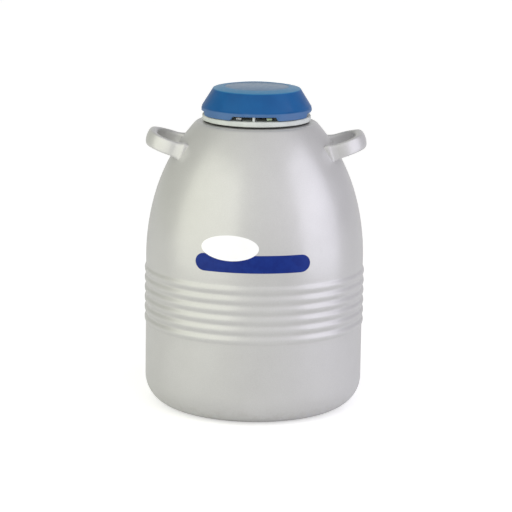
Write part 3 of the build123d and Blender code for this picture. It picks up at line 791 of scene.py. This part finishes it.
def cap_outline(angle):
    """The cap's closed section at an angle: windows lift its lower edge, and the hem between them
    stands out a little, with sloped ends."""
    off_centre = degrees(angle - WINDOW_CENTRE) % WINDOW_PITCH
    off_centre = min(off_centre, WINDOW_PITCH - off_centre)
    low = WINDOW_TOP + (CAP_LOW - WINDOW_TOP) * smooth((off_centre - WINDOW_HALF) / WINDOW_END)
    hem = smooth((off_centre - HEM_START) / HEM_RUN)
    face = SKIRT + (BRIM - SKIRT) * hem
    ledge = BRIM_TOP - 2.5 * MM * (1 - hem)
    round_edge = 0.8 * MM
    return rounded([
        (SKIRT - CAP_WALL, low, round_edge),
        (face, low, round_edge),
        (face, ledge, 0.9 * MM),
        (SKIRT - 1.6 * MM, BRIM_TOP + 3.0 * MM, 1.5 * MM),
        (RIM, RIM_HEIGHT, 3.0 * MM),
        (DISC_RADIUS + 0.2 * MM, CAP_TOP, 0.5 * MM),
        (DISC_RADIUS, DISC_FLOOR, 0.2 * MM),
        (0, DISC_FLOOR, 0),
        (0, DISC_FLOOR - CAP_WALL, 0),
        (DISC_RADIUS, DISC_FLOOR - CAP_WALL, 1 * MM),
        (RIM - 2.5 * MM, RIM_HEIGHT - CAP_WALL, 2 * MM),
        (SKIRT - CAP_WALL, BRIM_TOP - 1.5 * MM, 1 * MM),
    ], 5)


def cap():
    """The hollow cap, the disc set into its top and the foam plug under it."""
    bm = bmesh.new()
    add_lathe(bm, cap_outline, CAP_ROUND)
    finish_piece(new_object("cap_shell", bm), "lid", "cap_plastic", CAP_BLUE, "lid_cap")

    disc = rounded([(0, disc_box[0].z, 0), (disc_box[1].x, disc_box[0].z, 0),
                    (disc_box[1].x, disc_box[1].z, 0.5 * MM), (0, disc_box[1].z, 0)])
    finish_piece(revolve("cap_disc", disc), "lid", "disc_plastic", DISC_BLUE, "lid_disc")

    plug = rounded([(0, plug_box[0].z, 0), (plug_box[1].x, plug_box[0].z, 4 * MM),
                    (plug_box[1].x, plug_box[1].z, 0), (0, plug_box[1].z, 0)], 8)
    finish_piece(revolve("foam_plug", plug), "lid", "white_foam", FOAM, "neck_plug")


cap()

# ------------------------------------------------------------------ labels


FILM_ROWS, FILM_COLUMNS = 28, 48


def film(name, node, slot, box, half_width, lift):
    """A thin film that follows the shell. half_width gives half the film's width at a height,
    and lift is the distance of its underside and its face from the shell."""
    rows, columns = FILM_ROWS, FILM_COLUMNS
    low, high = box
    centre_x = (low.x + high.x) / 2
    levels = [(low.z + high.z) / 2 - (high.z - low.z) / 2 * cos(pi * i / rows)
              for i in range(rows + 1)]
    bm = bmesh.new()
    sheets = []
    for distance in lift:
        sheet = []
        for z in levels:
            radius = dome_radius(z) + distance
            width = half_width(z)
            if width < 1e-6:
                x = centre_x
                sheet.append([bm.verts.new((x, -sqrt(radius**2 - x**2), z))])
                continue
            row = []
            for k in range(columns + 1):
                x = centre_x - width * cos(pi * k / columns)
                row.append(bm.verts.new((x, -sqrt(radius**2 - x**2), z)))
            sheet.append(row)
        sheets.append(sheet)

    def skin(a, b):
        for k in range(columns):
            corners = (a[k % len(a)], a[(k + 1) % len(a)], b[(k + 1) % len(b)], b[k % len(b)])
            bm.faces.new(list(dict.fromkeys(corners)))

    for sheet in sheets:
        for a, b in zip(sheet, sheet[1:]):
            skin(a, b)
    back, face = sheets
    for i in range(rows):
        for end in (0, -1):
            corners = (back[i][end], back[i + 1][end], face[i + 1][end], face[i][end])
            bm.faces.new(corners)
    for i in (0, -1):
        if len(back[i]) > 1:
            skin(back[i], face[i])
    finish_piece(new_object(name, bm), "root", slot, FINISH[slot], node)


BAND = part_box("label_band")
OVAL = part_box("label_oval")


def band_half_width(z):
    """Half the band's width at a height: straight edges and half-round ends."""
    half_height = (BAND[1].z - BAND[0].z) / 2
    off = z - (BAND[0].z + BAND[1].z) / 2
    straight = (BAND[1].x - BAND[0].x) / 2 - half_height
    return straight + sqrt(max(half_height**2 - off**2, 0))


def oval_half_width(z):
    """Half the oval's width at a height."""
    half_height = (OVAL[1].z - OVAL[0].z) / 2
    off = (z - (OVAL[0].z + OVAL[1].z) / 2) / half_height
    return (OVAL[1].x - OVAL[0].x) / 2 * sqrt(max(1 - off**2, 0))


film("band_film", "label_band", "label_blue", BAND, band_half_width, (0.02 * MM, 0.14 * MM))
film("oval_film", "label_oval", "label_white", OVAL, oval_half_width, (0.16 * MM, 0.28 * MM))

# ------------------------------------------------------------------ vacuum port on the back


PORT_HEIGHT = 560 * MM


def place_on_port(obj):
    """Stand a piece that was turned about +Z on the shoulder at the port."""
    sine = (PORT_HEIGHT - SHOULDER_Z) / SHOULDER_ARC
    cosine = sqrt(1 - sine**2)
    spot = Vector((0, SHOULDER_R + SHOULDER_ARC * cosine, PORT_HEIGHT))
    turn = Vector((0, cosine, sine)).to_track_quat("Z", "X").to_matrix().to_4x4()
    obj.data.transform(Matrix.Translation(spot) @ turn)
    return obj


def vacuum_port():
    """The short neck of the port and the rubber cover that pulls off it."""
    outer, bore, stand, sink = 14 * MM, 10 * MM, 12 * MM, 10 * MM
    neck = rounded([(bore, -sink, 0), (outer, -sink, 0), (outer, stand, 1 * MM),
                    (bore, stand, 0.6 * MM)], 4)
    finish_piece(place_on_port(revolve("port_neck", neck, PORT_ROUND)), "root", "shell_paint",
                 PAINT, "vacuum_port")
    gap, wall = 0.35 * MM, 2 * MM
    wide = outer + gap
    cover = rounded([(0, stand + gap, 0), (wide, stand + gap, 0.6 * MM), (wide, 2 * gap, 0.3 * MM),
                     (wide + wall, 2 * gap, 0.6 * MM), (wide + wall, stand + gap + wall, 2 * MM),
                     (0, stand + gap + wall, 0)], 6)
    finish_piece(place_on_port(revolve("port_cover", cover, PORT_ROUND)), "vacuum_cover",
                 "cover_rubber", COVER_RUBBER, "vacuum_cover")


vacuum_port()

# ------------------------------------------------------------------ camera, floor and light


CAMERA_LENS, CAMERA_SENSOR = 174.1, 36.0            # millimetres
CAMERA_PLACE = (0.0031, -5.205, 1.433)
CAMERA_PITCH, CAMERA_ROLL = radians(12.08), radians(0.825)


def make_camera():
    """A long lens in front of the dewar, a little above it, with a slight roll."""
    data = bpy.data.cameras.new("camera")
    data.lens = CAMERA_LENS
    data.sensor_width = CAMERA_SENSOR
    camera = bpy.data.objects.new("camera", data)
    bpy.context.scene.collection.objects.link(camera)
    camera.matrix_world = (
        Matrix.Translation(CAMERA_PLACE)
        @ Matrix.Rotation(pi / 2 - CAMERA_PITCH, 4, "X")
        @ Matrix.Rotation(CAMERA_ROLL, 4, "Z")
    )
    bpy.context.scene.camera = camera


BOX_DISTANCE, BOX_HEIGHT, BOX_CENTRE = 1.25, 1.7, 0.9      # metres


def soft_box(name, azimuth, width, radiance, colour):
    """An upright light panel that faces the dewar. Azimuth is from the front, towards +X."""
    data = bpy.data.lights.new(name, "AREA")
    data.shape = "RECTANGLE"
    data.size, data.size_y = width, BOX_HEIGHT
    data.energy = radiance * pi * width * BOX_HEIGHT
    data.color = colour
    light = bpy.data.objects.new(name, data)
    bpy.context.scene.collection.objects.link(light)
    angle = FRONT + radians(azimuth)
    place = Vector((BOX_DISTANCE * cos(angle), BOX_DISTANCE * sin(angle), BOX_CENTRE))
    light.location = place
    target = UP * BOX_CENTRE
    light.rotation_euler = (target - place).to_track_quat("-Z", "Y").to_euler()
    light.visible_camera = False


def make_floor():
    """A wide pale floor that the camera sees as almost white."""
    bm = bmesh.new()
    bmesh.ops.create_circle(bm, cap_ends=True, segments=96, radius=30)
    floor = new_object("studio_floor", bm)
    s = Shader("studio_floor")
    s.link(s.ramp(s.noise(3.0), [(0.3, (0.80, 0.80, 0.80)), (0.7, (0.82, 0.82, 0.82))]),
           "Base Color")
    s.set(Roughness=0.9, Specular_IOR_Level=0.1, Emission_Color=(1, 1, 1, 1))
    seen = s.nodes.new("ShaderNodeLightPath").outputs["Is Camera Ray"]
    s.link(s.span(seen, 0.0, 1.0, 0.10, 0.50), "Emission Strength")
    floor.data.materials.append(s.material)


def make_surround():
    """Pale walls all round: darker to the sides, faintly olive on the left and lavender on the
    right, and plain white where the camera sees them."""
    world = bpy.data.worlds.new("surround")
    bpy.context.scene.world = world
    world.use_nodes = True
    tree = world.node_tree
    place = tree.nodes.new("ShaderNodeTexCoord")
    split = tree.nodes.new("ShaderNodeSeparateXYZ")
    tree.links.new(place.outputs["Generated"], split.inputs["Vector"])

    def ramp_along(axis, stops):
        span = tree.nodes.new("ShaderNodeMapRange")
        span.inputs["From Min"].default_value = -1.0
        span.inputs["From Max"].default_value = 1.0
        ramp = tree.nodes.new("ShaderNodeValToRGB")
        fill_ramp(ramp.color_ramp, stops)
        tree.links.new(split.outputs[axis], span.inputs["Value"])
        tree.links.new(span.outputs["Result"], ramp.inputs["Fac"])
        return ramp.outputs["Color"]

    depth = ramp_along("Y", [(position, (grey,) * 3) for position, grey in (
        (0.0, 1.0), (0.14, 0.97), (0.46, 0.88), (0.58, 0.42), (0.86, 0.46), (1.0, 0.80))])
    side = ramp_along("X", [(0.0, (0.80, 0.82, 0.70)), (0.5, (0.91, 0.91, 0.91)),
                            (1.0, (0.98, 0.95, 1.0))])
    colour = tree.nodes.new("ShaderNodeMix")
    colour.data_type = "RGBA"
    colour.blend_type = "MULTIPLY"
    colour.inputs["Factor"].default_value = 1.0
    background = tree.nodes["Background"]
    seen = tree.nodes.new("ShaderNodeBackground")
    seen.inputs["Color"].default_value = (1, 1, 1, 1)
    path = tree.nodes.new("ShaderNodeLightPath")
    mix = tree.nodes.new("ShaderNodeMixShader")
    for output, socket in ((depth, colour.inputs[6]),
                           (side, colour.inputs[7]),
                           (colour.outputs[2], background.inputs["Color"]),
                           (path.outputs["Is Camera Ray"], mix.inputs["Fac"]),
                           (background.outputs["Background"], mix.inputs[1]),
                           (seen.outputs["Background"], mix.inputs[2]),
                           (mix.outputs["Shader"], tree.nodes["World Output"].inputs["Surface"])):
        tree.links.new(output, socket)
    bpy.context.scene.view_settings.view_transform = "Standard"


make_camera()
make_floor()
make_surround()
soft_box("box_left", -51, 1.7, 0.86, (0.99, 1.0, 0.86))
soft_box("box_right", 70, 1.05, 1.12, (0.875, 0.86, 1.0))
